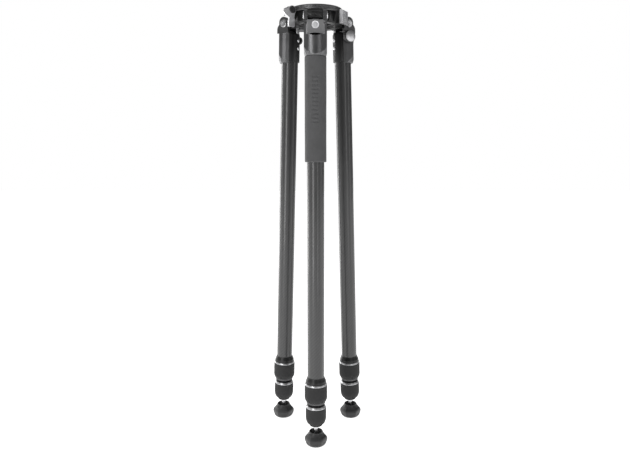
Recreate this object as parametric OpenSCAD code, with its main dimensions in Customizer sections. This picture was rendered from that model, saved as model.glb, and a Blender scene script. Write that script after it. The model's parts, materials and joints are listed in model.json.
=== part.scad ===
// Three-section tripod legs with a flat top platform, standing closed on rubber feet.
// The frame's origin is on the floor, under the centre of the platform. +Z is up,
// and the front leg stands towards -Y.

/* [Stance] */
// Height of the platform's top face above the floor, with the legs closed
height = 781; // [776:1:800]
// Angle of each closed leg from the vertical
leg_tilt = 1.8; // [1.4:0.1:2.4]
// Distance of each leg's pivot from the centre line
pivot_r = 57; // [56.5:0.5:60]

/* [Platform] */
// Radius of the round platform
platform_r = 48; // [46:0.5:48]
// Thickness of the platform's rim
platform_t = 9; // [8:0.5:9]
// Radius of the 3/8 inch head screw
screw_r = 4.76; // [4.7:0.01:4.8]
// Height that the head screw stands above the platform
screw_h = 8.5; // [6:0.5:8.5]

/* [Legs] */
// Outer radius of the upper tube
upper_r = 15; // [14.9:0.05:15]
// Outer radius of the middle tube
middle_r = 13; // [12.8:0.1:13.1]
// Outer radius of the lower tube
lower_r = 11; // [10.6:0.1:11.1]
// Wall of every tube
tube_wall = 1.4; // [1.2:0.1:1.5]
// Distance along the leg from its pivot to the bottom of the shoulder casting
shoulder_end = 68.5; // [66:0.5:72]
// Distance along the leg from its pivot to the top of the upper lock
upper_lock_s = 634; // [600:1:634]
// Distance along the leg from its pivot to the top of the lower lock
lower_lock_s = 684.5; // [684.5:0.5:686]

/* [Grip and feet] */
// Radius of the padded grip on the front leg
grip_r = 18.85; // [17.5:0.05:19.3]
// Length of the padded grip
grip_len = 179.5; // [120:0.5:220]
// Widest radius of a rubber foot
foot_r = 20.8; // [19:0.1:21]
// Height of a rubber foot
foot_h = 25; // [24:0.5:25.5]

/* [Hidden] */
$fn = 64;
LEGS = ["front", "left", "right"];
AZIMUTH = [270, 150, 30];
LEG_PARTS = [
    "shoulder", "inner_strap", "pivot_bolt", "angle_tab", "upper_tube", "upper_collar",
    "upper_nut", "upper_sleeve", "middle_tube", "middle_bush", "lower_collar",
    "lower_nut", "lower_sleeve", "lower_tube", "foot_stem", "foot"
];
APEX_PARTS = [
    "spider", "platform", "head_screw", "clamp_screw", "clamp_lever", "lever_cap",
    "release_catch", "port_knob", "knob_cap", "port_plug_front", "port_plug_left",
    "leg_grip"
];

run_fit = 0.05;          // radial clearance of a pin or a ball that turns
part_gap = 0.3;          // gap between pieces that move past each other
pivot_z = height - 21;   // height of the leg pivots
tube_in = 2.5;           // the tubes' axis lies this far inboard of the pivot
cut = 1;                 // how far a cutting shape runs past a face

// spider
ring_out = 46.5;
ring_in = 34;
ring_top = height - platform_t;
ring_bottom = height - 29;
arm_half = 12.9;
knuckle_r = 9.5;
bolt_r = 4;
stops = [22, 50, 80];    // angles between the leg and the closed leg at the three stops

// clamp that closes the split ring on the platform
clamp_az = 210;
clamp_r = 54.4;
clamp_z = height - 8.5;
clamp_bolt_r = 2.5;
lug_half = 9;
slit = 2.4;
lever_t = 5;
lever_y = 10;

// safety catch
catch_az = 330;
catch_top = height - 6;
catch_h = 23;

// shoulder casting
ear_r = 9.3;
ear_rise = 2.3;          // the ears' round tops are centred this far above the pivot
ear_in = arm_half + part_gap;
ear_out = 19.6;
body_top = 13;
bore_top = 38;
tab_pivot = [10.8, 12.5];
tab_face = 13.2;         // the tab's outer face lies this far outboard of the pivot
tab_pin_r = 1.6;
tab_half = 15.8;
tab_top = 10.5;
tab_end = 33.5;
cap_r = 6.8;             // caps of the pivot bolt
strap_r = 17.6;
retainer_s = [28.5, 42.5];   // the two screws on the inner side
port_s = 23.5;
port_r = 4.25;

// twist locks: where each piece starts and ends along the leg
lock_gap = 0.35;

// foot
ball_r = 6.5;
ball_z = 11;
neck_r = 3.6;
ball_s = (pivot_z - ball_z) / cos(leg_tilt) - tube_in * tan(leg_tilt);
foot_radius = pivot_r - tube_in * cos(leg_tilt) + ball_s * sin(leg_tilt);

// Points of an arc from angle a to angle b
function arc(centre, r, a, b, n = 12) =
    [for (i = [0:n]) let (t = a + (b - a) * i / n) centre + r * [cos(t), sin(t)]];

// ---- frames ------------------------------------------------------------------

// Pivot of leg i: x points outwards, y along the pivot, and the leg runs down -z
module at_pivot(i) {
    rotate([0, 0, AZIMUTH[i]])
        translate([pivot_r, 0, pivot_z])
            rotate([0, -leg_tilt, 0])
                children();
}

// Axis of leg i's tubes: z runs down the leg from the pivot's level
module down_leg(i) {
    at_pivot(i) translate([-tube_in, 0, 0]) rotate([180, 0, 0]) children();
}

module at_foot(i) {
    rotate([0, 0, AZIMUTH[i]]) translate([foot_radius, 0, 0]) children();
}

// A disc or rod along y, from y = a to y = b
module rod_y(r, a, b) {
    translate([0, a, 0]) rotate([-90, 0, 0]) cylinder(r = r, h = b - a);
}

module ring(r_out, r_in, a, b) {
    difference() {
        translate([0, 0, a]) cylinder(r = r_out, h = b - a);
        translate([0, 0, a - cut]) cylinder(r = r_in, h = b - a + 2 * cut);
    }
}

// A solid of revolution from its outer outline [radius, z], bored through at r_in
module turned(outline, r_in) {
    first = outline[0];
    last = outline[len(outline) - 1];
    rotate_extrude()
        polygon(concat([[r_in, first[1]]], outline, [[r_in, last[1]]]));
}

// ---- spider and platform -----------------------------------------------------

module knuckle() {
    difference() {
        union() {
            rod_y(knuckle_r, -arm_half, arm_half);
            translate([40 - pivot_r, -arm_half, -knuckle_r + 0.5])
                cube([pivot_r - 40, 2 * arm_half, 2 * knuckle_r - 1]);
        }
        rod_y(bolt_r + run_fit, -arm_half - cut, arm_half + cut);
        // notches that the angle tab's pawl drops into
        for (a = stops)
            rotate([0, 60 - a, 0])
                translate([knuckle_r - 1.1, -6, -1.6])
                    cube([3, 12, 3.2]);
    }
}

module clamp_lug() {
    translate([ring_out - 2, -lug_half, ring_bottom + 6])
        cube([4.2, 2 * lug_half, ring_top - ring_bottom - 6.3]);
    translate([platform_r + 0.6, -lug_half, clamp_z - 6])
        cube([clamp_r - platform_r + 4.4, 2 * lug_half, 12]);
}

module catch_boss() {
    difference() {
        translate([ring_out - 3, -8, ring_bottom])
            cube([6.9, 16, ring_top - ring_bottom - 0.3]);
        // T-slot of the catch's slider
        translate([ring_out, -5, ring_bottom + 1])
            cube([2.4, 10, 40]);
        translate([ring_out, -3, ring_bottom + 1])
            cube([10, 6, 40]);
    }
}

module spider() {
    color("#1c1c1e")
    difference() {
        union() {
            turned([[ring_out - 2, ring_bottom], [ring_out, ring_bottom + 2],
                    [ring_out, ring_top - 1], [ring_out - 1, ring_top]], ring_in);
            for (az = AZIMUTH)
                rotate([0, 0, az]) translate([pivot_r, 0, pivot_z]) knuckle();
            rotate([0, 0, clamp_az]) clamp_lug();
            rotate([0, 0, catch_az]) catch_boss();
        }
        rotate([0, 0, clamp_az]) {
            translate([ring_in - 3, -slit / 2, ring_bottom - cut])
                cube([40, slit, 40]);
            translate([clamp_r, 0, clamp_z])
                rod_y(clamp_bolt_r + run_fit, -lug_half - cut, lug_half + cut);
        }
    }
}

module platform() {
    color("#4a4a4d")
    difference() {
        union() {
            turned([[platform_r - 1, ring_top], [platform_r, ring_top + 1],
                    [platform_r, height - 5.2], [platform_r - 0.8, height - 4.7],
                    [platform_r - 0.8, height - 4.1], [platform_r, height - 3.6],
                    [platform_r, height - 2], [platform_r - 2, height]],
                   screw_r + 0.24 + run_fit);
            ring(ring_in - 0.4, 28, ring_top - 15, ring_top + cut);
        }
        // shallow ring groove on the top face
        ring(38, 36.6, height - 0.6, height + cut);
    }
}

module head_screw() {
    color("#b9babc")
    difference() {
        union() {
            rotate_extrude()
                polygon([[0, ring_top], [screw_r + 0.24, ring_top], [screw_r + 0.24, height],
                         [screw_r, height], [screw_r, height + screw_h - 0.8],
                         [screw_r - 0.8, height + screw_h], [0, height + screw_h]]);
            translate([0, 0, ring_top - 5]) cylinder(r = 13, h = 4.7);
            translate([0, 0, ring_top - 0.31]) cylinder(r = 8, h = 0.31);
            translate([0, 0, ring_top - 14]) cylinder(r = 9, h = 9.5);
        }
        translate([0, 0, ring_top - 15]) cylinder(r = 4.6, h = 7, $fn = 6);
        for (a = [0:30:330])
            rotate([0, 0, a]) translate([13.6, 0, ring_top - 6]) cylinder(r = 1.4, h = 7);
    }
}

// ---- platform clamp and safety catch -----------------------------------------

module clamp_screw() {
    color("#8d8e90")
    rotate([0, 0, clamp_az]) translate([clamp_r, 0, clamp_z]) {
        difference() {
            rod_y(4.4, -lug_half - 4, -lug_half);
            rotate([90, 0, 0]) translate([0, 0, lug_half + 1.5]) cylinder(r = 2.2, h = 4, $fn = 6);
        }
        rod_y(clamp_bolt_r, -lug_half - 0.5, lever_y + lever_t - 1);
    }
}

module lever_outline() {
    hull() {
        circle(r = 7);
        translate([11.5, -4.5]) circle(r = 4.4);
    }
    hull() {
        translate([11.5, -4.5]) circle(r = 4.4);
        translate([1, -12]) circle(r = 4.4);
    }
    hull() {
        circle(r = 6);
        translate([1, -12]) circle(r = 4.4);
    }
    hull() {
        translate([1, -12]) circle(r = 4.4);
        translate([1.5, -24.5]) square([11.4, 7], center = true);
    }
}

module clamp_lever() {
    color("#c4c5c7")
    rotate([0, 0, clamp_az]) translate([clamp_r, lever_y, clamp_z])
        difference() {
            translate([0, lever_t, 0]) rotate([90, 0, 0]) linear_extrude(height = lever_t)
                lever_outline();
            rod_y(clamp_bolt_r + run_fit, -cut, lever_t - 1 + run_fit);
            // seat of the black cap
            rod_y(5.95, lever_t - 1.2, lever_t + cut);
            // pressed relief along the shank
            translate([1.2, lever_t - 0.7, -19]) rotate([-90, 0, 0]) cylinder(r = 1, h = 2);
        }
}

module lever_cap() {
    color("#232325")
    rotate([0, 0, clamp_az]) translate([clamp_r, lever_y + lever_t - 0.9, clamp_z])
        rotate([-90, 0, 0])
            rotate_extrude()
                polygon(concat([[0, 0]], [[5.9, 0], [5.9, 1.8], [5.3, 2.4], [2.4, 2.5],
                                          [2.1, 1.6], [0, 1.6]]));
}

module release_catch() {
    color("#c4c5c7")
    rotate([0, 0, catch_az]) {
        difference() {
            translate([50.8, -6, catch_top - catch_h]) cube([6.6, 19.5, catch_h]);
            // slot between the thumb piece and its side plate
            translate([53.4, 6.6, catch_top - 12.5]) cube([5, 3.8, 14]);
            // ribs across the outer face
            for (k = [0:5])
                translate([56.8, -7, catch_top - 4.6 - 3.2 * k]) cube([2, 13.6, 1.2]);
            // sloped top
            translate([54.6, -7, catch_top]) rotate([0, 35, 0]) cube([6, 22, 6]);
        }
        // T-shaped slider in the boss
        translate([48, -2.6, ring_top - 13.5]) cube([3.5, 5.2, 10.5]);
        translate([ring_out + part_gap, -4.6, ring_top - 13.5]) cube([1.7, 9.2, 10.5]);
    }
}

// ---- shoulder of a leg -------------------------------------------------------

// Section of the casting: x is outwards, from the tubes' axis
module casting_section() {
    bulge_r = 28;
    polygon(concat(
        [[-7.5, -15.6], [-2, -18.4], [4, -ear_out], [11.5, -ear_out]],
        arc([-9, 0], bulge_r, -26.5, 26.5, 16),
        [[11.5, ear_out], [4, ear_out], [-2, 18.4], [-7.5, 15.6]]));
}

// Outline of one ear seen along the pivot, with z upwards
module ear_outline() {
    polygon(concat(
        arc([0, ear_rise], ear_r, 0, 180, 24),
        [[-ear_r, -body_top + 2], [-10, -body_top], [-10, -body_top - 4],
         [13.4, -body_top - 4], [13.4, -9], [12, -5], [ear_r, -2]]));
}

module ears() {
    for (side = [-1, 1])
        translate([0, side > 0 ? ear_out : -ear_in, 0])
            rotate([90, 0, 0])
                linear_extrude(height = ear_out - ear_in) ear_outline();
}

module port_hole(r) {
    translate([-tube_in, 0, -port_s]) rod_y(r, -ear_out - cut, -ear_out + 8.5);
}

module shoulder(i) {
    color("#8a8b8e")
    at_pivot(i)
    difference() {
        union() {
            ears();
            intersection() {
                translate([-tube_in, 0, -shoulder_end])
                    linear_extrude(height = shoulder_end - body_top) casting_section();
                // bevelled lower corners
                translate([-tube_in, 0, -shoulder_end])
                    union() {
                        cylinder(r1 = 18.3, r2 = 23.6, h = 17);
                        translate([0, 0, 17]) cylinder(r = 23.6, h = shoulder_end);
                    }
            }
        }
        // bore for the upper tube
        translate([-tube_in, 0, -shoulder_end - cut])
            cylinder(r = upper_r + run_fit, h = shoulder_end - bore_top + cut);
        // room for the spider's knuckle
        rod_y(knuckle_r + 1.2, -ear_in, ear_in);
        // pivot bolt, with a seat for its caps
        rod_y(bolt_r + run_fit, -ear_out - cut, ear_out + cut);
        rod_y(cap_r + 0.2, -ear_out - cut, -ear_out + 1.2);
        rod_y(cap_r + 0.2, ear_out - 1.2, ear_out + cut);
        // pocket of the angle tab, the pawl's slot and the tab's pin
        translate([8.9, -tab_half - part_gap, -tab_end - 0.5])
            cube([14, 2 * (tab_half + part_gap), tab_end - tab_top + 1.4]);
        translate([1, -5.8, -20]) cube([14, 11.6, 16]);
        translate([tab_pivot[0], 0, -tab_pivot[1]])
            rod_y(tab_pin_r + run_fit, -tab_half - 2, tab_half + 2);
        // finger recess under the tab
        intersection() {
            translate([9.3, 0, -tab_end + 20]) rotate([0, 90, 0]) cylinder(r = 23, h = 12);
            translate([9.3, -11, -tab_end - 4]) cube([12, 22, 8]);
        }
        // accessory port
        port_hole(port_r);
    }
}

module inner_strap(i) {
    color("#2b2b2d")
    down_leg(i)
    difference() {
        translate([0, 0, body_top + 1.5]) {
            cylinder(r1 = strap_r - 2.5, r2 = strap_r, h = 4);
            translate([0, 0, 4]) cylinder(r = strap_r, h = shoulder_end - body_top - 7.5);
        }
        // the casting takes the outer half
        translate([-8, -30, 0]) cube([60, 60, 2 * shoulder_end]);
        translate([0, 0, bore_top]) cylinder(r = upper_r + run_fit, h = shoulder_end);
        for (s = retainer_s)
            translate([-strap_r - cut, 0, s]) rotate([0, 90, 0]) cylinder(r = 1.75, h = 6);
    }
}

module cap_outline() {
    // the bolt's domed cap with its hexagon socket facing +z
    difference() {
        rotate_extrude()
            polygon([[0, 0], [cap_r, 0], [cap_r, 1.6], [cap_r - 0.8, 2.6], [0, 3]]);
        translate([0, 0, 1.2]) cylinder(r = 2.6, h = 3, $fn = 6);
    }
}

// The leg's pivot bolt with its two caps, and the two screws that retain the tube
module pivot_bolt(i) {
    color("#d0d1d3") {
        at_pivot(i) {
            rod_y(bolt_r, -ear_out + 0.6, ear_out - 0.6);
            for (side = [0, 180])
                rotate([0, 0, side]) translate([0, ear_out - 1.15, 0])
                    rotate([-90, 0, 0]) cap_outline();
        }
        down_leg(i)
            for (s = retainer_s)
                translate([-strap_r - 0.05, 0, s]) rotate([0, -90, 0]) {
                    translate([0, 0, -2.6]) cylinder(r = 1.65, h = 3);
                    difference() {
                        cylinder(r1 = 3.1, r2 = 2.2, h = 1.7);
                        translate([0, 0, 0.8]) cylinder(r = 1.2, h = 2, $fn = 6);
                    }
                }
    }
}

module angle_tab(i) {
    color("#77787b")
    at_pivot(i)
    difference() {
        union() {
            // plate, with bevelled long sides
            translate([0, 0, -tab_end])
                linear_extrude(height = tab_end - tab_top)
                    polygon([[9.9, -tab_half], [tab_face - 2, -tab_half],
                             [tab_face, -tab_half + 2], [tab_face, tab_half - 2],
                             [tab_face - 2, tab_half], [9.9, tab_half]]);
            translate([tab_pivot[0], 0, -tab_pivot[1]])
                rod_y(tab_pin_r, -tab_half - 1.8, tab_half + 1.8);
            // pawl that reaches under the knuckle
            translate([0, 5.2, 0]) rotate([90, 0, 0]) linear_extrude(height = 10.4)
                polygon([[10.5, -11], [8.2, -10.6], [6.2, -7.8], [4.6, -8.9], [6.8, -13.8],
                         [10.5, -16]]);
        }
        // finger arch at the bottom edge
        translate([8, 0, -tab_end - 29]) rotate([0, 90, 0]) cylinder(r = 31, h = 12);
    }
}

// ---- accessory ports ---------------------------------------------------------

module at_port(i) {
    at_pivot(i) translate([-tube_in, -ear_out, -port_s]) rotate([90, 0, 0]) children();
}

module port_shank() {
    translate([0, 0, -7.5]) cylinder(r = port_r - run_fit, h = 8.5);
}

module port_plug(i) {
    color("#a5a6a8")
    at_port(i) {
        port_shank();
        cylinder(r = port_r - run_fit, h = 8.2);
        difference() {
            translate([0, 0, 8])
                rotate_extrude()
                    polygon([[0, 0], [6.2, 0], [7, 0.8], [7, 3.8], [6, 4.8], [0, 5]]);
            for (a = [0:30:330])
                rotate([0, 0, a]) translate([7.4, 0, 7]) cylinder(r = 0.8, h = 7);
        }
    }
}

module port_knob() {
    color("#1d1d1f")
    at_port(2) {
        port_shank();
        translate([0, 0, 0.4])
            difference() {
                rotate_extrude()
                    polygon([[0, 0], [9.6, 0], [11.2, 1.6], [11.2, 6.8], [10, 8], [0, 8]]);
                for (a = [0:18:342])
                    rotate([0, 0, a]) translate([11.9, 0, -1]) cylinder(r = 1.1, h = 12);
            }
    }
}

module knob_cap() {
    color("#cfd0d2")
    at_port(2)
        translate([0, 0, 8.4])
            rotate_extrude()
                polygon(concat([[0, 0], [9.7, 0], [9.7, 1.4]],
                               arc([0, -13.6], 17.9, 57, 90, 10)));
}

// ---- tubes -------------------------------------------------------------------

module tube(r, a, b) {
    ring(r, r - tube_wall, a, b);
}

module upper_tube(i) {
    color("#59595b")
    down_leg(i)
    difference() {
        tube(upper_r, bore_top + 0.5, upper_lock_s + 36);
        translate([-upper_r - 2, 0, retainer_s[1]]) rotate([0, 90, 0]) cylinder(r = 1.7, h = 5);
    }
}

module middle_tube(i) {
    color("#4d4d4f") down_leg(i) tube(middle_r, 84, lower_lock_s + 27);
}

module lower_tube(i) {
    color("#454547") down_leg(i) tube(lower_r, 100, 722);
}

// Shim that guides the middle tube inside the upper one
module middle_bush(i) {
    color("#d8d5cc")
    down_leg(i)
    difference() {
        ring(upper_r - tube_wall - run_fit, middle_r + 0.02, 88, 128);
        translate([0, -1.5, 80]) cube([30, 3, 60]);
    }
}

module leg_grip() {
    color("#3b3b3d")
    down_leg(0)
        translate([0, 0, shoulder_end + 0.1])
            turned([[grip_r - 1.2, 0], [grip_r, 1.2], [grip_r, grip_len - 1.2],
                    [grip_r - 1.2, grip_len]], upper_r + run_fit);
}

// ---- twist locks -------------------------------------------------------------

// Threaded collar at the end of a tube: a cone that shows, then a spigot
module upper_collar(i) {
    color("#1f1f21")
    down_leg(i)
        turned([[upper_r + 0.6, upper_lock_s], [upper_r + 1.2, upper_lock_s + 2],
                [18.1, upper_lock_s + 6], [18.9, upper_lock_s + 10.8],
                [17, upper_lock_s + 10.8], [17, upper_lock_s + 36]],
               upper_r + run_fit);
}

module lower_collar(i) {
    color("#1f1f21")
    down_leg(i)
        turned([[middle_r + 0.6, lower_lock_s - 0.5], [15.6, lower_lock_s + 0.5],
                [16.2, lower_lock_s + 1.8], [14.8, lower_lock_s + 1.8],
                [14.8, lower_lock_s + 27]],
               middle_r + run_fit);
}

// Twist nut: an alloy ring with a bright bevel, which runs on under the rubber sleeve
module upper_nut(i) {
    top = upper_lock_s + 10.8 + lock_gap;
    color("#d4d5d7")
    down_leg(i)
        rotate_extrude()
            polygon([[17 + lock_gap, top], [19, top], [19.9, top + 2], [19.9, top + 2.8],
                     [18.2, top + 2.8], [18.2, top + 26], [16.5, top + 34],
                     [16.9, top + 34.2], [16.9, top + 36.6], [16.3, top + 37.2],
                     [middle_r + lock_gap, top + 37.2], [middle_r + lock_gap, top + 27],
                     [17 + lock_gap, top + 27]]);
}

module upper_sleeve(i) {
    top = upper_lock_s + 14 + lock_gap;
    color("#47474a")
    down_leg(i)
        rotate_extrude()
            polygon(concat(
                [[18.25, top], [19.8, top], [20.4, top + 0.6]],
                arc([8.4, top + 22.4], 12, 0, 39, 8),
                [[16.75, top + 30.4], [18.25, top + 22.7]]));
}

// The lower lock closes in a round end: the centre of its arcs, as [radius, distance]
round_end = [-1.8, lower_lock_s + 24];

module lower_nut(i) {
    top = lower_lock_s + 1.8 + lock_gap;
    color("#d4d5d7")
    down_leg(i)
        rotate_extrude()
            polygon(concat(
                [[14.8 + lock_gap, top], [16.5, top], [18.1, top + 2.6], [18.1, top + 3.6],
                 [16.1, top + 3.6]],
                arc(round_end, 18.3, 12, 40, 8),
                [[lower_r + lock_gap, round_end[1] + 18.3 * sin(40)],
                 [lower_r + lock_gap, top + 25.6], [14.8 + lock_gap, top + 25.6]]));
}

module lower_sleeve(i) {
    top = lower_lock_s + 5.8 + lock_gap;
    color("#454548")
    down_leg(i)
        rotate_extrude()
            polygon(concat(
                [[16.15, top], [18, top], [18.6, top + 0.6]],
                arc(round_end, 20.4, 0, 36, 10),
                arc(round_end, 18.35, 36, 12, 8)));
}

// ---- foot --------------------------------------------------------------------

// Black end plug of the lower tube, its steel stem and the ball that the foot turns on
module foot_stem(i) {
    color("#b6b7b9")
    down_leg(i) {
        rotate_extrude()
            polygon([[0, 690], [lower_r - tube_wall - run_fit, 690],
                     [lower_r - tube_wall - run_fit, 722.05],
                     [11.8, 722.05], [11.8, 723], [10.4, 724.3], [9.4, 724.4], [4, 729.5],
                     [neck_r, 730.2], [neck_r, ball_s - 5],
                     [0, ball_s - 5]]);
        translate([0, 0, ball_s]) sphere(r = ball_r);
    }
}

module foot(i) {
    mouth_r = 10.6;
    waist_z = 10.5;
    lip_r = 5.9;
    lip_z = ball_z + sqrt(pow(ball_r + run_fit, 2) - pow(lip_r, 2));
    color("#3a3a3c")
    at_foot(i)
    difference() {
        rotate_extrude()
            polygon(concat(
                [[0, 0], [15.4, 0]],
                arc([foot_r - 13.2, waist_z], 13.2, -51.5, 0, 10),
                arc([foot_r - 9, waist_z], 9, 5, 50, 8),
                [[mouth_r + 1.6, foot_h], [mouth_r, foot_h], [lip_r + 0.7, lip_z + 1.6],
                 [lip_r, lip_z], [0, lip_z]]));
        translate([0, 0, ball_z]) sphere(r = ball_r + run_fit);
    }
}

// ---- the whole part ----------------------------------------------------------

spider();
platform();
head_screw();
clamp_screw();
clamp_lever();
lever_cap();
release_catch();
port_knob();
knob_cap();
port_plug(0);  // port_plug_front
port_plug(1);  // port_plug_left
leg_grip();
for (i = [0:2]) {
    leg = LEGS[i];
    shoulder(i);
    inner_strap(i);
    pivot_bolt(i);
    angle_tab(i);
    upper_tube(i);
    upper_collar(i);
    upper_nut(i);
    upper_sleeve(i);
    middle_tube(i);
    middle_bush(i);
    lower_collar(i);
    lower_nut(i);
    lower_sleeve(i);
    lower_tube(i);
    foot_stem(i);
    foot(i);
}
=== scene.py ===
import json
import math

import bmesh
import bpy
import numpy as np
from mathutils import Matrix, Vector

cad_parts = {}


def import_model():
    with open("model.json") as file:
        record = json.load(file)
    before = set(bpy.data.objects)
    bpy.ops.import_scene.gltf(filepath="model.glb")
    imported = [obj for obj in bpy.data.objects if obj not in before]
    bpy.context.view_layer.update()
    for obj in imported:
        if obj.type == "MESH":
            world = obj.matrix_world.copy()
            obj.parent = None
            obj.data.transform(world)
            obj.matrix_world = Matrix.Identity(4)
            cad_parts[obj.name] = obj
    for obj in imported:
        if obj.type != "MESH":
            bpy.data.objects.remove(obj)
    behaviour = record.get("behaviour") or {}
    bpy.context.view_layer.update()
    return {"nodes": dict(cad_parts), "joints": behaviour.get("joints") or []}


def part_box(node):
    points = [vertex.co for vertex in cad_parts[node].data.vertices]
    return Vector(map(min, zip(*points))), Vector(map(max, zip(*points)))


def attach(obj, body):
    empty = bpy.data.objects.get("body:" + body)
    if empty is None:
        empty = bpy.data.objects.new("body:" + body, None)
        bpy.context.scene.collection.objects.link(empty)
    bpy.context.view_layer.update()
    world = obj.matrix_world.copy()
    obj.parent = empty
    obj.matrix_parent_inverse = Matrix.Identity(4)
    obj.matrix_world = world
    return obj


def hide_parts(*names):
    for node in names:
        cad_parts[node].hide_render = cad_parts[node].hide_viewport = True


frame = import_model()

# Closed tripod legs: the CAD nodes are painted, and the sleeves, grip, feet, stems and head
# screw are made again in finer meshes. Shapes are in millimetres and multiplied by MM, and the
# lights and the camera are in metres.

MM = 0.001
LEGS = ("front", "left", "right")
NODES = frame["nodes"]
JOINTS = {j["name"]: j for j in frame["joints"]}
SCREW_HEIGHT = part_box("head_screw")[1].z
PLATFORM_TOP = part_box("platform")[1].z
PLUG_LENGTH = 32.05
BLACK_LENGTH = 35.7
EDGE_WIDTH = 0.5
SMOOTH_ANGLE = 32


# ---- frames -----------------------------------------------------------------------


def leg_frame(leg):
    """The leg's own axes: x outwards, z down the tubes, from the level of the pivot."""
    pivot = Vector(JOINTS["leg_spread_" + leg]["pos_m"])
    on_axis = Vector(JOINTS["upper_lock_twist_" + leg]["pos_m"])
    down = Vector(JOINTS["middle_slide_" + leg]["axis"]).normalized()
    origin = on_axis - down * (on_axis - pivot).dot(down)
    out = (pivot - origin).normalized()
    side = down.cross(out)
    axes = Matrix((out, side, down)).transposed().to_4x4()
    axes.translation = origin
    return axes


def foot_frame(leg):
    """The foot's own axes: x outwards, z up, from the floor under the ball."""
    ball = Vector(JOINTS["foot_tilt_" + leg]["pos_m"])
    out = Vector((ball.x, ball.y, 0)).normalized()
    up = Vector((0, 0, 1))
    axes = Matrix((out, up.cross(out), up)).transposed().to_4x4()
    axes.translation = Vector((ball.x, ball.y, 0))
    return axes


LEG_FRAME = {leg: leg_frame(leg) for leg in LEGS}


def reach(node, leg):
    """Nearest and furthest distance of a CAD node down its leg, in metres."""
    inverse = LEG_FRAME[leg].inverted()
    depths = [(inverse @ v.co).z for v in NODES[node].data.vertices]
    return min(depths), max(depths)


# ---- meshes -----------------------------------------------------------------------


def make_object(name, verts, faces, smooth_angle=SMOOTH_ANGLE):
    mesh = bpy.data.meshes.new(name)
    mesh.from_pydata([tuple(v) for v in verts], [], faces)
    mesh.update()
    mesh.polygons.foreach_set("use_smooth", [True] * len(mesh.polygons))
    mesh.set_sharp_from_angle(angle=math.radians(smooth_angle))
    obj = bpy.data.objects.new(name, mesh)
    bpy.context.scene.collection.objects.link(obj)
    return obj


def lathe(name, outline, place, segments=96, closed=False, shape=None, smooth_angle=SMOOTH_ANGLE):
    """A solid of revolution in millimetres about the z axis of `place`.

    `outline` is [(radius, z), ...]. `shape(radii, angles, heights)` takes one ring of points
    and gives its radii and heights, so that ribs and flats can be pressed into it.
    """
    angles = np.arange(segments) * 2 * math.pi / segments
    verts, rings = [], []
    for radius, z in outline:
        if radius <= 1e-9:
            rings.append([len(verts)])
            verts.append((0.0, 0.0, z))
            continue
        radii = np.full(segments, float(radius))
        heights = np.full(segments, float(z))
        if shape is not None:
            radii, heights = shape(radii, angles, heights)
        rings.append(list(range(len(verts), len(verts) + segments)))
        verts.extend(zip(radii * np.cos(angles), radii * np.sin(angles), heights))
    pairs = list(zip(rings, rings[1:]))
    if closed:
        pairs.append((rings[-1], rings[0]))
    faces = []
    for low, high in pairs:
        for k in range(segments):
            n = (k + 1) % segments
            if len(low) == 1 and len(high) == 1:
                continue
            if len(low) == 1:
                faces.append((low[0], high[n], high[k]))
            elif len(high) == 1:
                faces.append((low[k], low[n], high[0]))
            else:
                faces.append((low[k], low[n], high[n], high[k]))
    points = [place @ (Vector(v) * MM) for v in verts]
    obj = make_object(name, points, faces, smooth_angle)
    outwards(obj)
    return obj


def outwards(obj):
    """Turns every face of a closed mesh outwards."""
    bm = bmesh.new()
    bm.from_mesh(obj.data)
    bmesh.ops.recalc_face_normals(bm, faces=bm.faces)
    bm.to_mesh(obj.data)
    bm.free()


def arc(centre, radius, start, end, steps):
    """Points of an arc in an outline, from one angle in degrees to another."""
    turns = np.radians(np.linspace(start, end, steps + 1))
    return [(centre[0] + radius * math.cos(t), centre[1] + radius * math.sin(t)) for t in turns]


def fine(outline, step):
    """The outline with its long stretches divided, so that ribs can be pressed into it."""
    points = [outline[0]]
    for a, b in zip(outline, outline[1:]):
        count = max(1, int(math.ceil(math.dist(a, b) / step)))
        for k in range(1, count + 1):
            t = k / count
            points.append((a[0] + (b[0] - a[0]) * t, a[1] + (b[1] - a[1]) * t))
    return points


def smoothstep(low, high, x):
    """0 below low, 1 above high and a soft ramp between."""
    t = np.clip((x - low) / (high - low), 0, 1)
    return t * t * (3 - 2 * t)


# ---- materials --------------------------------------------------------------------


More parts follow.
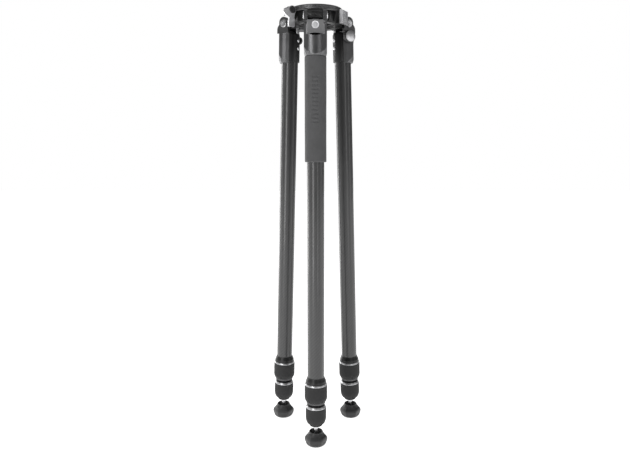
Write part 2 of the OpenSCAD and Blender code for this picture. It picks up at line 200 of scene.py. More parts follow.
class Shader:
    """One Principled material and short calls that add the nodes around it."""

    def __init__(self, name, **values):
        self.material = bpy.data.materials.new(name)
        self.material.use_nodes = True
        self.tree = self.material.node_tree
        self.tree.nodes.clear()
        self.principled = self.add("BsdfPrincipled")
        output = self.add("OutputMaterial")
        self.tree.links.new(self.principled.outputs[0], output.inputs["Surface"])
        for key, value in values.items():
            self.principled.inputs[key.replace("_", " ")].default_value = value
        self.place = self.add("TexCoord").outputs["Object"]

    def add(self, kind, **settings):
        node = self.tree.nodes.new("ShaderNode" + kind)
        for key, value in settings.items():
            setattr(node, key, value)
        return node

    def plug(self, socket, value):
        if isinstance(value, bpy.types.NodeSocket):
            self.tree.links.new(value, socket)
        elif value is not None:
            socket.default_value = value

    def set(self, name, value):
        self.plug(self.principled.inputs[name], value)

    def math(self, operation, a, b=None, c=None, clamp=False):
        node = self.add("Math", operation=operation, use_clamp=clamp)
        for socket, value in zip(node.inputs, (a, b, c)):
            self.plug(socket, value)
        return node.outputs[0]

    def noise(self, scale, detail=3.0, rough=0.55, place=None, distortion=0.0):
        node = self.add("TexNoise")
        self.plug(node.inputs["Vector"], place or self.place)
        node.inputs["Scale"].default_value = scale
        node.inputs["Detail"].default_value = detail
        node.inputs["Roughness"].default_value = rough
        node.inputs["Distortion"].default_value = distortion
        return node.outputs["Fac"]

    def stretched(self, scale, place=None):
        """Coordinates pulled along an axis, for brushed and drawn finishes."""
        node = self.add("Mapping")
        self.plug(node.inputs["Vector"], place or self.place)
        node.inputs["Scale"].default_value = scale
        return node.outputs[0]

    def local(self, axes):
        """Coordinates in the axes of a leg or a foot."""
        node = self.add("Mapping", vector_type="TEXTURE")
        self.plug(node.inputs["Vector"], self.place)
        node.inputs["Location"].default_value = axes.translation
        node.inputs["Rotation"].default_value = axes.to_euler()
        return node.outputs[0]

    def split(self, vector):
        node = self.add("SeparateXYZ")
        self.plug(node.inputs[0], vector)
        return node.outputs

    def cells(self, scale):
        node = self.add("TexVoronoi")
        self.plug(node.inputs["Vector"], self.place)
        node.inputs["Scale"].default_value = scale
        return node.outputs["Distance"]

    def span(self, value, low, high, out_low=0.0, out_high=1.0):
        """The value taken from one range to another, and held at its ends."""
        node = self.add("MapRange")
        limits = (("From Min", low), ("From Max", high), ("To Min", out_low), ("To Max", out_high))
        for name, number in limits:
            node.inputs[name].default_value = number
        self.plug(node.inputs["Value"], value)
        return node.outputs["Result"]

    def blend(self, factor, a, b):
        """A colour between grey levels or colours a and b."""
        node = self.add("Mix", data_type="RGBA")
        self.plug(node.inputs["Factor"], factor)
        for socket, value in ((node.inputs[6], a), (node.inputs[7], b)):
            self.plug(socket, (*value, 1.0) if isinstance(value, tuple) else value)
        return node.outputs[2]

    def bump(self, height, depth_mm, normal=None):
        node = self.add("Bump")
        node.inputs["Strength"].default_value = 1.0
        node.inputs["Distance"].default_value = depth_mm * MM
        self.plug(node.inputs["Height"], height)
        self.plug(node.inputs["Normal"], normal)
        return node.outputs[0]

    def edges(self, radius_mm):
        """(rounded normal, 0..1 mask of the edges) within a radius of each edge."""
        bevel = self.add("Bevel", samples=6)
        bevel.inputs["Radius"].default_value = radius_mm * MM
        flat = self.add("NewGeometry").outputs["Normal"]
        dot = self.add("VectorMath", operation="DOT_PRODUCT")
        self.plug(dot.inputs[0], bevel.outputs[0])
        self.plug(dot.inputs[1], flat)
        return bevel.outputs[0], self.span(dot.outputs["Value"], 0.995, 0.9)


def grey(level, tint=0.02):
    """A grey of that linear level, a little cooler than neutral."""
    return (level, level, level * (1 + tint))


def recess_shade_mask(s, axes):
    """Mask of the painted shade: 1 inside the recess under the angle tab, 0 elsewhere, in a leg's axes."""
    floor_x, half_width, top, bottom = (n * MM for n in (16.2, 11.2, 30.5, 37.2))
    x, y, z = s.split(s.local(axes))
    inside = s.math("LESS_THAN", x, floor_x)
    inside = s.math("MULTIPLY", inside, s.math("LESS_THAN", s.math("ABSOLUTE", y), half_width))
    inside = s.math("MULTIPLY", inside, s.math("GREATER_THAN", z, top))
    return s.math("MULTIPLY", inside, s.math("LESS_THAN", z, bottom))


def cast_metal(name, level, worn, metallic, rough, recess_shade_axes=None):
    """Painted or anodised casting: fine orange peel, cloudy sheen, rubbed edges, and painted shade in the
    finger recess when a leg's axes are given.
    """
    peel_mm, cloud_mm = 0.0004, 0.003
    # Painted shade: the near-black colour painted into the finger recess under the angle tab.
    painted_recess_shade = grey(0.003)
    s = Shader(name, Metallic=metallic)
    rounded, edge = s.edges(0.45)
    cloud = s.noise(38, 4, 0.6)
    speckle = s.noise(2600, 1, 0.5)
    scuff = s.noise(210, 5, 0.65)
    rubbed = s.math("MULTIPLY", edge, s.span(scuff, 0.42, 0.66), clamp=True)
    base = s.blend(s.span(cloud, 0.3, 0.7), grey(level * 0.93), grey(level * 1.07))
    base = s.blend(s.span(speckle, 0.62, 0.8, 0.0, 0.2), base, grey(level * 1.4))
    base = s.blend(rubbed, base, grey(worn))
    # Painted shade: the finger recess under the angle tab is painted near black, in place of the shadow
    # that falls there.
    if recess_shade_axes is not None:
        base = s.blend(recess_shade_mask(s, recess_shade_axes), base, painted_recess_shade)
    s.set("Base Color", base)
    s.set("Roughness", s.math("ADD", s.span(cloud, 0.3, 0.7, rough - 0.04, rough + 0.05),
                              s.math("MULTIPLY", rubbed, -0.08)))
    s.set("Normal", s.bump(speckle, peel_mm, s.bump(cloud, cloud_mm, rounded)))
    return s.material


def bright_metal(name, level, rough):
    """Bright anodised or polished metal with drawn lines and hairline scratches."""
    drawn, scratched = (1.0, 1.0, 0.06), (0.12, 1.0, 0.5)
    line_mm = 0.006
    s = Shader(name, Metallic=1.0)
    rounded, edge = s.edges(0.35)
    lines = s.noise(2400, 3, 0.6, s.stretched(drawn))
    cloud = s.noise(60, 3, 0.6)
    hair = s.noise(900, 2, 0.5, s.stretched(scratched))
    base = s.blend(s.span(lines, 0.35, 0.65), grey(level * 0.9), grey(level))
    base = s.blend(s.span(cloud, 0.45, 0.75, 0.0, 0.3), base, grey(level * 0.78))
    s.set("Base Color", s.blend(edge, base, grey(min(0.95, level * 1.12))))
    s.set("Roughness", s.math("ADD", s.span(lines, 0.3, 0.7, rough - 0.05, rough + 0.06),
                              s.span(hair, 0.66, 0.74, 0.0, 0.12)))
    s.set("Normal", s.bump(lines, line_mm, rounded))
    return s.material


def turned_metal(name, level, rough, metallic):
    """Metal turned on a lathe: fine rings round the tripod's own axis."""
    pitch_mm = 0.22
    s = Shader(name, Metallic=metallic)
    rounded, edge = s.edges(0.4)
    x, y, z = s.split(s.place)
    radius = s.math("SQRT", s.math("ADD", s.math("MULTIPLY", x, x), s.math("MULTIPLY", y, y)))
    turns = s.math("MULTIPLY", s.math("ADD", radius, z), 2 * math.pi / (pitch_mm * MM))
    rings = s.math("SINE", turns)
    cloud = s.noise(45, 4, 0.6)
    speckle = s.noise(2200, 2, 0.5)
    scuff = s.math("MULTIPLY", edge, s.span(s.noise(260, 4, 0.6), 0.4, 0.62), clamp=True)
    base = s.blend(s.span(cloud, 0.3, 0.7), grey(level * 0.92), grey(level * 1.08))
    base = s.blend(s.span(speckle, 0.6, 0.8, 0.0, 0.3), base, grey(level * 1.4))
    s.set("Base Color", s.blend(scuff, base, grey(min(0.9, level * 3 + 0.1))))
    s.set("Roughness", s.span(cloud, 0.3, 0.7, rough - 0.04, rough + 0.05))
    s.set("Normal", s.bump(rings, 0.004, s.bump(speckle, 0.006, rounded)))
    return s.material


def plastic(name, level, rough):
    """Moulded plastic with a spark-eroded grain."""
    s = Shader(name)
    rounded, edge = s.edges(0.4)
    grain = s.noise(3200, 3, 0.6)
    cloud = s.noise(70, 3, 0.6)
    base = s.blend(s.span(cloud, 0.3, 0.7), grey(level * 0.9), grey(level * 1.12))
    s.set("Base Color", s.blend(s.math("MULTIPLY", edge, 0.5), base, grey(level * 1.9)))
    s.set("Roughness", s.span(grain, 0.3, 0.7, rough - 0.06, rough + 0.08))
    s.set("Normal", s.bump(grain, 0.02, rounded))
    return s.material


def rubber(name, level, rough, dusty=1.6):
    """Matt rubber: fine grain, pale bloom in patches and along the rubbed edges."""
    grain_mm, bloom_mm = 0.03, 0.08
    s = Shader(name)
    s.set("Specular IOR Level", 0.34)
    rounded, edge = s.edges(0.5)
    grain = s.noise(1900, 4, 0.65)
    bloom = s.noise(90, 5, 0.62, distortion=0.4)
    base = s.blend(s.span(bloom, 0.35, 0.72), grey(level * 0.88), grey(level * 1.15))
    base = s.blend(s.span(grain, 0.6, 0.8, 0.0, 0.4), base, grey(level * 1.5))
    s.set("Base Color", s.blend(s.math("MULTIPLY", edge, 0.6), base, grey(level * dusty)))
    s.set("Roughness", s.span(bloom, 0.3, 0.7, rough - 0.05, rough + 0.07))
    s.set("Normal", s.bump(grain, grain_mm, s.bump(bloom, bloom_mm, rounded)))
    return s.material


def foam(name, level):
    """Closed-cell foam: a skin of tiny pores and soft mottling, with painted shade in the pores."""
    s = Shader(name, Roughness=0.86)
    s.set("Specular IOR Level", 0.35)
    s.set("Sheen Weight", 0.12)
    s.set("Sheen Roughness", 0.5)
    pores = s.cells(1500)
    fine_pores = s.noise(3600, 3, 0.6)
    mottle = s.noise(55, 5, 0.62)
    depth = s.math("ADD", s.span(pores, 0.0, 0.45), s.math("MULTIPLY", fine_pores, 0.5))
    base = s.blend(s.span(mottle, 0.3, 0.7), grey(level * 0.9), grey(level * 1.1))
    # Painted shade: the pits of the pores are painted darker.
    base = s.blend(s.span(pores, 0.28, 0.05, 0.0, 0.75), base, grey(level * 0.45))
    s.set("Base Color", base)
    s.set("Roughness", s.span(mottle, 0.3, 0.7, 0.8, 0.93))
    s.set("Normal", s.bump(depth, 0.07, s.bump(mottle, 0.25)))
    return s.material


def carbon(name, axes, level):
    """Twill-woven carbon fibre under a clear coat, laid round the leg's own axis, with painted sheen on one
    direction of tow and painted shade between the tows.
    """
    tows_round = 60
    tow_mm = 1.55
    twill_repeat = 4.0
    weave_mm, coat_mm = 0.035, 0.03
    s = Shader(name, Metallic=0.0, Roughness=0.4)
    s.set("Coat Weight", 0.65)
    s.set("Coat Roughness", 0.17)
    x, y, z = s.split(s.local(axes))
    u = s.math("MULTIPLY", s.math("ARCTAN2", y, x), tows_round / (2 * math.pi))
    v = s.math("DIVIDE", z, tow_mm * MM)
    iu, iv = s.math("FLOOR", u), s.math("FLOOR", v)
    fu, fv = s.math("SUBTRACT", u, iu), s.math("SUBTRACT", v, iv)
    phase = s.math("FLOORED_MODULO", s.math("SUBTRACT", iu, iv), twill_repeat)
    over = s.math("LESS_THAN", phase, 1.5)

    def crown(f):
        centred = s.math("MULTIPLY_ADD", f, 2.0, -1.0)
        return s.math("SUBTRACT", 1.0, s.math("MULTIPLY", centred, centred))

    along_u, along_v = crown(fu), crown(fv)
    height = s.math("ADD", s.math("MULTIPLY", over, along_u),
                    s.math("MULTIPLY", s.math("SUBTRACT", 1.0, over), along_v))
    joined = s.add("CombineXYZ")
    s.plug(joined.inputs[0], u)
    s.plug(joined.inputs[1], v)
    across = s.noise(6.0, 2, 0.6, s.stretched((1.0, 0.04, 1.0), joined.outputs[0]))
    lengthwise = s.noise(6.0, 2, 0.6, s.stretched((0.04, 1.0, 1.0), joined.outputs[0]))
    # Painted sheen: the tows of one direction are painted lighter than those of the other, in place of
    # their different reflections.
    warp_sheen = s.blend(s.span(across, 0.3, 0.7), grey(level * 0.95), grey(level * 1.35))
    weft_shade = s.blend(s.span(lengthwise, 0.3, 0.7), grey(level * 0.62), grey(level * 0.9))
    base = s.blend(over, weft_shade, warp_sheen)
    # Painted shade: the low edges of each tow, in the creases where the tows meet, are painted darker.
    base = s.blend(s.span(height, 0.0, 0.35), grey(level * 0.45), base)
    cloud = s.noise(30, 4, 0.6)
    base = s.blend(s.span(cloud, 0.35, 0.7, 0.0, 0.22), base, grey(level * 1.3))
    s.set("Base Color", base)
    s.set("Roughness", s.span(cloud, 0.3, 0.7, 0.36, 0.46))
    s.set("Normal", s.bump(height, weave_mm))
    s.set("Coat Normal", s.bump(s.noise(160, 3, 0.6), coat_mm))
    return s.material


def steel_and_black(name, axes, black_to):
    """The foot's stem: black down to `black_to` along the leg, bright turned steel below it."""
    ring_pitch_mm, ring_mm = 0.25, 0.003
    s = Shader(name)
    rounded = s.edges(0.3)[0]
    z = s.split(s.local(axes))[2]
    is_steel = s.math("GREATER_THAN", z, black_to)
    grain = s.noise(2600, 3, 0.6)
    rings = s.math("SINE", s.math("MULTIPLY", z, 2 * math.pi / (ring_pitch_mm * MM)))
    steel = s.blend(s.span(grain, 0.3, 0.7), grey(0.62), grey(0.74))
    black = s.blend(s.span(grain, 0.3, 0.7), grey(0.020), grey(0.032))
    s.set("Base Color", s.blend(is_steel, black, steel))
    s.set("Metallic", is_steel)
    s.set("Roughness", s.math("ADD", s.span(is_steel, 0.0, 1.0, 0.5, 0.26),
                              s.span(grain, 0.3, 0.7, -0.03, 0.05)))
    s.set("Normal", s.bump(rings, ring_mm, rounded))
    return s.material


def lock_nut(name, axes, bevel_end, tip_start):
    """Alloy nut: bright bevel at its top and bright tip, satin dark anodised between them."""
    ring_pitch_mm, ring_mm = 0.2, 0.0005
    s = Shader(name, Metallic=1.0)
    rounded, edge = s.edges(0.25)
    z = s.split(s.local(axes))[2]
    bright = s.math("MAXIMUM", s.math("LESS_THAN", z, bevel_end), s.math("GREATER_THAN", z, tip_start))
    grain = s.noise(2400, 3, 0.6)
    rings = s.math("SINE", s.math("MULTIPLY", z, 2 * math.pi / (ring_pitch_mm * MM)))
    polished = s.blend(s.span(grain, 0.3, 0.7), grey(0.50), grey(0.62))
    satin = s.blend(s.span(grain, 0.3, 0.7), grey(0.09), grey(0.12))
    base = s.blend(bright, satin, polished)
    s.set("Base Color", s.blend(s.math("MULTIPLY", edge, 0.4), base, grey(0.8)))
    s.set("Roughness", s.math("ADD", s.span(bright, 0.0, 1.0, 0.42, 0.34),
                              s.span(grain, 0.3, 0.7, -0.03, 0.05)))
    s.set("Normal", s.bump(rings, ring_mm, rounded))
    return s.material


def nut_looks(node, bevel_mm, tip_mm):
    """One nut material for each leg, banded from the nut's own ends."""
    made = {}
    for leg in LEGS:
        top, bottom = reach(f"{node}_{leg}", leg)
        bevel_end, tip_start = top + bevel_mm * MM, bottom - tip_mm * MM
        made[leg] = lock_nut(f"{node}_metal_{leg}", LEG_FRAME[leg], bevel_end, tip_start)
    return made


def stem_looks():
    """One stem material for each leg, black as far as the plug's shoulder."""
    made = {}
    for leg in LEGS:
        black_to = reach("foot_stem_" + leg, leg)[0] + BLACK_LENGTH * MM
        made[leg] = steel_and_black("stem_" + leg, LEG_FRAME[leg], black_to)
    return made


def shoulder_looks(**look):
    """The grey casting for each leg, with painted shade in its finger recess."""
    return {leg: cast_metal("casting_" + leg, recess_shade_axes=LEG_FRAME[leg], **look) for leg in LEGS}


GREY_CAST = {"level": 0.13, "worn": 0.45, "metallic": 0.9, "rough": 0.33}
CARBON = {leg: carbon("carbon_" + leg, LEG_FRAME[leg], level=0.027) for leg in LEGS}
STEM = stem_looks()
UPPER_NUT = nut_looks("upper_nut", bevel_mm=3.0, tip_mm=0.0)
LOWER_NUT = nut_looks("lower_nut", bevel_mm=3.8, tip_mm=3.0)
CASTING = cast_metal("casting_grey", **GREY_CAST)
SHOULDER = shoulder_looks(**GREY_CAST)
TAB = cast_metal("tab_grey", level=0.29, worn=0.65, metallic=0.75, rough=0.34)
BLACK_CASTING = cast_metal("black_casting", level=0.008, worn=0.1, metallic=0.1, rough=0.42)
BLACK_COLLAR = cast_metal("black_collar", level=0.008, worn=0.1, metallic=0.1, rough=0.38)
PLATFORM = turned_metal("platform_grey", 0.12, 0.36, metallic=0.7)
LEVER_SILVER = bright_metal("lever_silver", 0.74, 0.42)
SILVER = bright_metal("silver", 0.60, 0.42)
BADGE_SILVER = bright_metal("badge_silver", 0.85, 0.42)
STEEL = bright_metal("steel", 0.70, 0.26)
BLACK_PLASTIC = plastic("black_plastic", 0.018, 0.42)
BUSH = plastic("bush_plastic", 0.55, 0.45)
LOCK_RUBBER = rubber("lock_rubber", 0.021, 0.6)
FOOT_RUBBER = rubber("foot_rubber", 0.040, 0.34, dusty=2.6)
FOAM = foam("grip_foam", 0.078)

LOOKS = {
    "spider": BLACK_CASTING,
    "platform": PLATFORM,
    "head_screw": STEEL,
    "clamp_screw": STEEL,
    "clamp_lever": LEVER_SILVER,
    "lever_cap": BLACK_PLASTIC,
    "release_catch": LEVER_SILVER,
    "port_knob": BLACK_PLASTIC,
    "knob_cap": SILVER,
    "port_plug_front": CASTING,
    "port_plug_left": BLACK_PLASTIC,
    "leg_grip": FOAM,
    "shoulder": SHOULDER,
    "inner_strap": BLACK_CASTING,
    "pivot_bolt": STEEL,
    "angle_tab": TAB,
    "upper_tube": CARBON,
    "middle_tube": CARBON,
    "lower_tube": CARBON,
    "upper_collar": BLACK_COLLAR,
    "lower_collar": BLACK_COLLAR,
    "upper_nut": UPPER_NUT,
    "lower_nut": LOWER_NUT,
    "upper_sleeve": LOCK_RUBBER,
    "lower_sleeve": LOCK_RUBBER,
    "middle_bush": BUSH,
    "foot_stem": STEM,
    "foot": FOOT_RUBBER,
}


def paint(obj, material):
    obj.data.materials.clear()
    obj.data.materials.append(material)


def paint_nodes():
    """Each CAD node gets its look, by its own name or by its name without the leg."""
    for name, obj in NODES.items():
        leg = name.rsplit("_", 1)[-1]
        key = name if name in LOOKS else name.rsplit("_", 1)[0]
        look = LOOKS[key]
        paint(obj, look[leg] if isinstance(look, dict) else look)


def round_edges(width_mm, *prefixes):
    """Small true bevels on the castings' edges, as the moulds and the finishing leave them."""
    for name, obj in NODES.items():
        if not name.startswith(prefixes):
            continue
        weld = obj.modifiers.new("join", "WELD")
        weld.merge_threshold = 0.002 * MM
        bevel = obj.modifiers.new("edges", "BEVEL")
        bevel.width = width_mm * MM
        bevel.segments = 2
        bevel.limit_method = "ANGLE"
        bevel.angle_limit = math.radians(32)
        bevel.use_clamp_overlap = True
        bevel.harden_normals = True


# ---- pieces -----------------------------------------------------------------------


def leg_grip():
    """Padded sleeve: soft rounded ends and a column of plain pressed bars on its front."""
    top, bottom = (s / MM for s in reach("leg_grip", "front"))
    radius, inside, end_r = 18.8, 15.1, 1.7
    bar_count, bar_pitch, bar_depth = 12, 6.9, 0.8
    first_bar = top + (bottom - top) * 0.195
    bars = [first_bar + bar_pitch * k for k in range(bar_count)]
    outline = [(inside, top + 0.3), (inside + 1.0, top + 0.1)]
    outline += arc((radius - end_r, top + end_r + 0.1), end_r, -90, 0, 6)
    outline += arc((radius - end_r, bottom - end_r - 0.1), end_r, 0, 90, 6)
    outline += [(inside + 1.0, bottom - 0.1), (inside, bottom - 0.3)]

    def shape(radii, angles, heights):
        z = heights[0]
        if radii[0] < radius - 0.6:
            return radii, heights
        turn = (angles + math.pi) % (2 * math.pi) - math.pi
        width = np.abs(turn) * radius
        pressed = 1 - smoothstep(5.2, 6.1, width)
        depth = sum(1 - smoothstep(1.2, 2.0, abs(z - b)) for b in bars)
        wave = 0.06 * np.sin(3 * angles + z * 0.05) + 0.05 * math.sin(z * 0.11)
        return radii - bar_depth * pressed * min(1.0, depth) + wave - 0.06, heights

    grip = lathe("grip_foam_front", fine(outline, 0.7), LEG_FRAME["front"], 144, shape=shape, closed=True)
    paint(grip, FOAM)
    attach(grip, "leg_front")
    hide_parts("leg_grip")


def ribbed(grooved, grooves, fluted, flute_depth, outside):
    """Shape of a rubber sleeve: narrow grooves all round and five short flutes in its taper.

    `grooved` and `fluted` are the stretches, in millimetres down the leg, that are grooved
    and fluted. `outside(z)` is the radius below which a point is inside the sleeve.
    """
    flutes, groove_depth, flute_radius = 5, 0.28, 18

    def shape(radii, angles, heights):
        z = heights[0]
        if radii[0] < outside(z):
            return radii, heights
        low, high = grooved
        level = smoothstep(low - 1.5, low, z) * (1 - smoothstep(high, high + 1.5, z))
        groove = (0.5 + 0.5 * np.cos(grooves * angles)) ** 5
        turn = np.abs((angles * flutes / (2 * math.pi)) % 1 - 0.5) * 2 * math.pi / flutes
        flute = 1 - smoothstep(0.6, 1.9, turn * flute_radius)
        low, high = fluted
        depth = smoothstep(low - 1.6, low, z) * (1 - smoothstep(high, high + 1.4, z))
        return radii - groove_depth * level * groove - flute_depth * depth * flute, heights

    return shape


def sleeve_rim(outer, top):
    """Rounded upper rim of a rubber sleeve."""
    return [(outer - 0.9, top), (outer - 0.6, top + 0.03), (outer - 0.25, top + 0.2), (outer, top + 0.7)]


def upper_sleeve(leg):
    """Rubber sleeve of the upper lock: ribbed barrel with a rounded, fluted taper."""
    top = reach("upper_sleeve_" + leg, leg)[0] / MM
    outer, bore, round_r = 20.4, 18.25, 12
    outline = [(bore, top)] + sleeve_rim(outer, top)
    outline += arc((outer - round_r, top + 22.4), round_r, 0, 39, 12)
    outline += [(16.78, top + 30.4), (bore, top + 22.7)]
    shape = ribbed((top + 3, top + 20), 64, (top + 24, top + 28), 1.1,
                   lambda z: 18.6 if z < top + 24.5 else 16.95)
    sleeve = lathe("sleeve_upper_" + leg, fine(outline, 0.8), LEG_FRAME[leg], 320, closed=True, shape=shape)
    paint(sleeve, LOCK_RUBBER)
    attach(sleeve, "upper_lock_" + leg)
    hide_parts("upper_sleeve_" + leg)


def lower_sleeve(leg):
    """Rubber sleeve of the lower lock: ribbed barrel that rounds in to the nut's bright tip."""
    top = reach("lower_sleeve_" + leg, leg)[0] / MM
    outer, bore, round_r, inner_r, end_angle = 18.6, 16.15, 20.4, 18.35, 31
    centre = (outer - round_r, top + 17.85)
    outline = [(bore, top)] + sleeve_rim(outer, top)
    outline += arc(centre, round_r, 0, end_angle, 14)
    outline += arc(centre, inner_r, end_angle, 12, 8)
    shape = ribbed((top + 4, top + 17), 60, (top + 21, top + 26), 0.8,
                   lambda z: 16.9 if z < top + 19 else 14.9)
    sleeve = lathe("sleeve_lower_" + leg, fine(outline, 0.8), LEG_FRAME[leg], 300, closed=True, shape=shape)
    paint(sleeve, LOCK_RUBBER)
    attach(sleeve, "lower_lock_" + leg)
    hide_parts("lower_sleeve_" + leg)


def foot_stem(leg):
    """End plug of the lower tube with its steel stem and the ball that the foot turns on."""
    axes = LEG_FRAME[leg]
    top = reach("foot_stem_" + leg, leg)[0] / MM
    shelf = top + PLUG_LENGTH
    ball = (axes.inverted() @ Vector(JOINTS["foot_tilt_" + leg]["pos_m"])).z / MM
    ball_r, neck_r, plug_r = 6.5, 3.6, 9.5
    neck_end = math.degrees(math.asin(neck_r / ball_r))
    outline = [(0, top + 1.5), (7.6, top + 1.5), (7.6, top), (plug_r - 0.5, top), (plug_r, top + 0.5)]
    outline += [(plug_r, shelf), (11.5, shelf), (11.8, shelf + 0.3), (11.8, shelf + 0.8)]
    outline += arc((10.2, shelf + 0.9), 1.6, 0, 80, 6)
    outline += [(7.4, shelf + 2.9), (6.9, shelf + 3.4), (4.2, shelf + 3.6), (3.9, shelf + 4.1)]
    outline += [(neck_r, shelf + 4.3), (neck_r, shelf + 9.0), (neck_r - 0.35, shelf + 9.3)]
    outline += [(neck_r - 0.35, shelf + 10.1), (neck_r, shelf + 10.4)]
    outline += arc((0, ball), ball_r, neck_end - 90, 90, 24)[:-1] + [(0, ball + ball_r)]
    stem = lathe("stem_" + leg, outline, axes, 96)
    paint(stem, STEM[leg])
    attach(stem, "lower_" + leg)
    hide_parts("foot_stem_" + leg)


def rubber_foot(leg):
    """Bell-shaped foot with six soft flats, an open mouth round the stem and ringed tread."""
    low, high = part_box("foot_" + leg)
    height = (high.z - low.z) / MM
    widest = (high.x - low.x) / 2 / MM
    waist_z = 10.5
    flank_r, shoulder_r = 13.2, 9
    ball_z, cavity, lip = 11.0, 6.55, 5.9
    lip_z = ball_z + math.sqrt(cavity**2 - lip**2)
    tread = [(0, 0.9), (2.4, 0.9), (3.0, 0.0), (5.6, 0.0), (6.1, 0.9), (7.7, 0.9), (8.2, 0.0),
             (10.8, 0.0), (11.3, 0.9), (13.3, 0.9), (13.8, 0.0), (15.0, 0.0)]
    outline = tread + arc((widest - 0.05 - flank_r, waist_z), flank_r, -51.5, 0, 12)
    outline += arc((widest - 0.05 - shoulder_r, waist_z), shoulder_r, 5, 50, 10)
    outline += [(12.9, height - 2.2), (12.5, height - 0.7), (11.9, height), (11.2, height - 0.2),
                (10.7, height - 1.1), (7.0, lip_z + 2.4), (lip + 0.3, lip_z + 1.2), (lip, lip_z)]
    start = math.degrees(math.atan2(lip_z - ball_z, lip))
    outline += arc((0, ball_z), cavity, start, -90, 14)[1:-1] + [(0, ball_z - cavity)]

    def shape(radii, angles, heights):
        z = heights[0]
        if radii[0] < 12.0:
            return radii, heights
        turn = (angles + math.pi / 6) % (math.pi / 3) - math.pi / 6
        flat = math.cos(math.pi / 6) / np.cos(turn)
        share = 0.8 * smoothstep(2.5, 8.0, z) * (1 - 0.75 * smoothstep(18, 24, z))
        return radii * (1 - share * (1 - flat)), heights

    foot = lathe("foot_rubber_" + leg, fine(outline, 1.1), foot_frame(leg), 192,
                 shape=shape, smooth_angle=40)
    paint(foot, FOOT_RUBBER)
    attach(foot, "foot_cup_" + leg)
    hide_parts("foot_" + leg)


def head_screw():
    """Captive 3/8 inch screw: a real helical thread on a turned body with a hexagon socket."""
    pitch = 25.4 / 16
    crest, root = 4.76, 4.18
    seat = PLATFORM_TOP / MM
    top = SCREW_HEIGHT / MM
    ring_top = seat - 9
    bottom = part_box("head_screw")[0].z / MM
    place = Matrix.Identity(4)
    outline = [(0, bottom + 7.9), (4.0, bottom + 7.9), (4.0, bottom + 0.4), (4.5, bottom), (8.3, bottom),
               (9.0, bottom + 0.7), (9.0, ring_top - 5.0), (12.4, ring_top - 5.0), (13, ring_top - 4.4),
               (13, ring_top - 0.9), (12.4, ring_top - 0.32), (8, ring_top - 0.32), (8, ring_top - 0.02),
               (5.0, ring_top - 0.02), (5.0, seat - 0.3), (4.3, seat)]
    thread_end, thread_step = top - 1.0, 0.11
    steps = int((thread_end - seat) / thread_step)
    outline += [(crest, seat + (thread_end - seat) * k / steps) for k in range(1, steps + 1)]
    outline += [(3.9, top - 0.15), (3.6, top), (0, top)]

    def shape(radii, angles, heights):
        z = heights[0]
        if z < ring_top - 0.31 and radii[0] > 12:
            turn = np.abs((angles * 12 / (2 * math.pi)) % 1 - 0.5) * 2 * math.pi / 12 * 13
            return radii - 0.75 * (1 - smoothstep(0.5, 1.5, turn)), heights
        if abs(radii[0] - crest) < 1e-6 and z > seat:
            wave = np.abs(((z / pitch - angles / (2 * math.pi)) % 1) - 0.5) * 2
            fade = smoothstep(seat, seat + 0.8, z)
            return root + (crest - root) * (1 - fade * (1 - wave)), heights
        if radii[0] < 4.6 and z < bottom + 8:
            turn = (angles + math.pi / 6) % (math.pi / 3) - math.pi / 6
            return radii * math.cos(math.pi / 6) / np.cos(turn), heights
        return radii, heights

    screw = lathe("head_screw_threaded", outline, place, 96, shape=shape, smooth_angle=50)
    paint(screw, STEEL)
    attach(screw, "head_screw")
    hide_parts("head_screw")


def tab_badge(leg):
    """Plain turned disc set on the face of the angle tab."""
    depth = 18.5
    axes = LEG_FRAME[leg]
    face = max((axes.inverted() @ v.co).x for v in NODES["angle_tab_" + leg].data.vertices)
    centre = axes @ Vector((face, 0, depth * MM))
    out, side = (axes.to_3x3() @ Vector(v) for v in ((1, 0, 0), (0, 1, 0)))
    place = Matrix((side, out.cross(side), out)).transposed().to_4x4()
    place.translation = centre
    outline = [(0, 0.55), (3.2, 0.5), (4.9, 0.4), (5.1, 0.75), (5.6, 0.95), (6.05, 0.75), (6.25, 0.2),
               (6.25, -0.2), (0, -0.2)]
    badge = lathe("badge_" + leg, outline, place, 64)
    paint(badge, BADGE_SILVER)
    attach(badge, "tab_" + leg)


# ---- stage ------------------------------------------------------------------------


def floor():
    """Plain white sheet just under the feet."""
    half, level = 6.0, -0.0002
    corners = [(-half, -half, level), (half, -half, level), (half, half, level), (-half, half, level)]
    mesh = bpy.data.meshes.new("floor")
    mesh.from_pydata(corners, [], [(0, 1, 2, 3)])
    obj = bpy.data.objects.new("floor", mesh)
    bpy.context.scene.collection.objects.link(obj)
    s = Shader("floor_paper", Roughness=0.9)
    s.set("Base Color", s.blend(s.noise(6, 3, 0.6), (0.80, 0.80, 0.80), (0.84, 0.84, 0.84)))
    s.set("Emission Color", (1.0, 1.0, 1.0, 1.0))
    s.set("Emission Strength", 1.0)
    s.set("Specular IOR Level", 0.1)
    paint(obj, s.material)


def softbox(name, location, target, size, power):
    """Rectangular light in watts, aimed at the target and unseen by the camera."""
    data = bpy.data.lights.new(name, "AREA")
    data.shape = "RECTANGLE"
    data.size, data.size_y = size
    data.energy = power
    obj = bpy.data.objects.new(name, data)
    obj.location = location
    obj.rotation_mode = "QUATERNION"
    obj.rotation_quaternion = (Vector(target) - Vector(location)).to_track_quat("-Z", "Y")
    obj.visible_camera = False
    bpy.context.scene.collection.objects.link(obj)


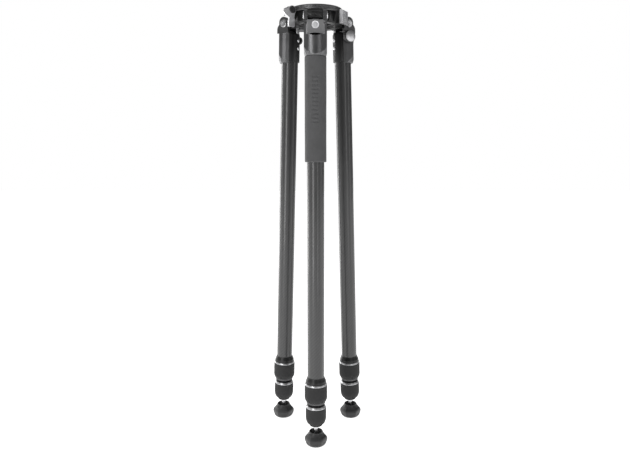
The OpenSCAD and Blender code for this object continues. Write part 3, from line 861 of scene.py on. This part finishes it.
def lights():
    """Tall narrow boxes, which give the tubes and castings their upright highlights."""
    middle = (0, 0, 0.42)
    softbox("key_left", (-0.90, -1.45, 0.8), middle, (0.40, 1.7), 11)
    softbox("fill_right", (0.72, -1.40, 0.6), middle, (0.22, 1.5), 2.6)
    softbox("top", (-0.4, -0.35, 1.9), middle, (1.0, 1.0), 3.0)
    softbox("rim_left", (-1.15, 0.95, 0.5), middle, (0.5, 1.7), 11)
    softbox("side_left", (-1.5, -0.15, 0.6), middle, (0.4, 1.4), 2.2)
    softbox("side_right", (1.45, -0.35, 0.6), middle, (0.35, 1.4), 1.8)


def world():
    """White where the camera looks at it, a soft grey where it lights the object."""
    ambient = 0.14
    made = bpy.data.worlds.new("studio")
    made.use_nodes = True
    tree = made.node_tree
    tree.nodes.clear()
    output = tree.nodes.new("ShaderNodeOutputWorld")
    path = tree.nodes.new("ShaderNodeLightPath")
    mix = tree.nodes.new("ShaderNodeMixShader")
    soft = tree.nodes.new("ShaderNodeBackground")
    soft.inputs["Color"].default_value = (1, 1, 1, 1)
    soft.inputs["Strength"].default_value = ambient
    white = tree.nodes.new("ShaderNodeBackground")
    white.inputs["Color"].default_value = (1, 1, 1, 1)
    white.inputs["Strength"].default_value = 1.0
    tree.links.new(path.outputs["Is Camera Ray"], mix.inputs[0])
    tree.links.new(soft.outputs[0], mix.inputs[1])
    tree.links.new(white.outputs[0], mix.inputs[2])
    tree.links.new(mix.outputs[0], output.inputs["Surface"])
    bpy.context.scene.world = made


def camera():
    """Camera before the front leg, looking slightly down, as the photograph was taken."""
    place = (0.0183, -1.0885, 0.5395)
    tilt, pan = 82.32, 0.27
    data = bpy.data.cameras.new("camera")
    data.sensor_width = 36
    data.lens = 33.49
    data.shift_x, data.shift_y = -0.0133, 0.0005
    data.clip_start, data.clip_end = 0.05, 50
    obj = bpy.data.objects.new("camera", data)
    obj.location = place
    obj.rotation_euler = (math.radians(tilt), 0, math.radians(pan))
    bpy.context.scene.collection.objects.link(obj)
    bpy.context.scene.camera = obj
    bpy.context.scene.view_settings.view_transform = "Standard"


paint_nodes()
round_edges(EDGE_WIDTH, "shoulder", "spider", "inner_strap", "angle_tab", "clamp_lever", "release_catch")
leg_grip()
head_screw()
for leg in LEGS:
    upper_sleeve(leg)
    lower_sleeve(leg)
    foot_stem(leg)
    rubber_foot(leg)
    tab_badge(leg)
floor()
lights()
world()
camera()
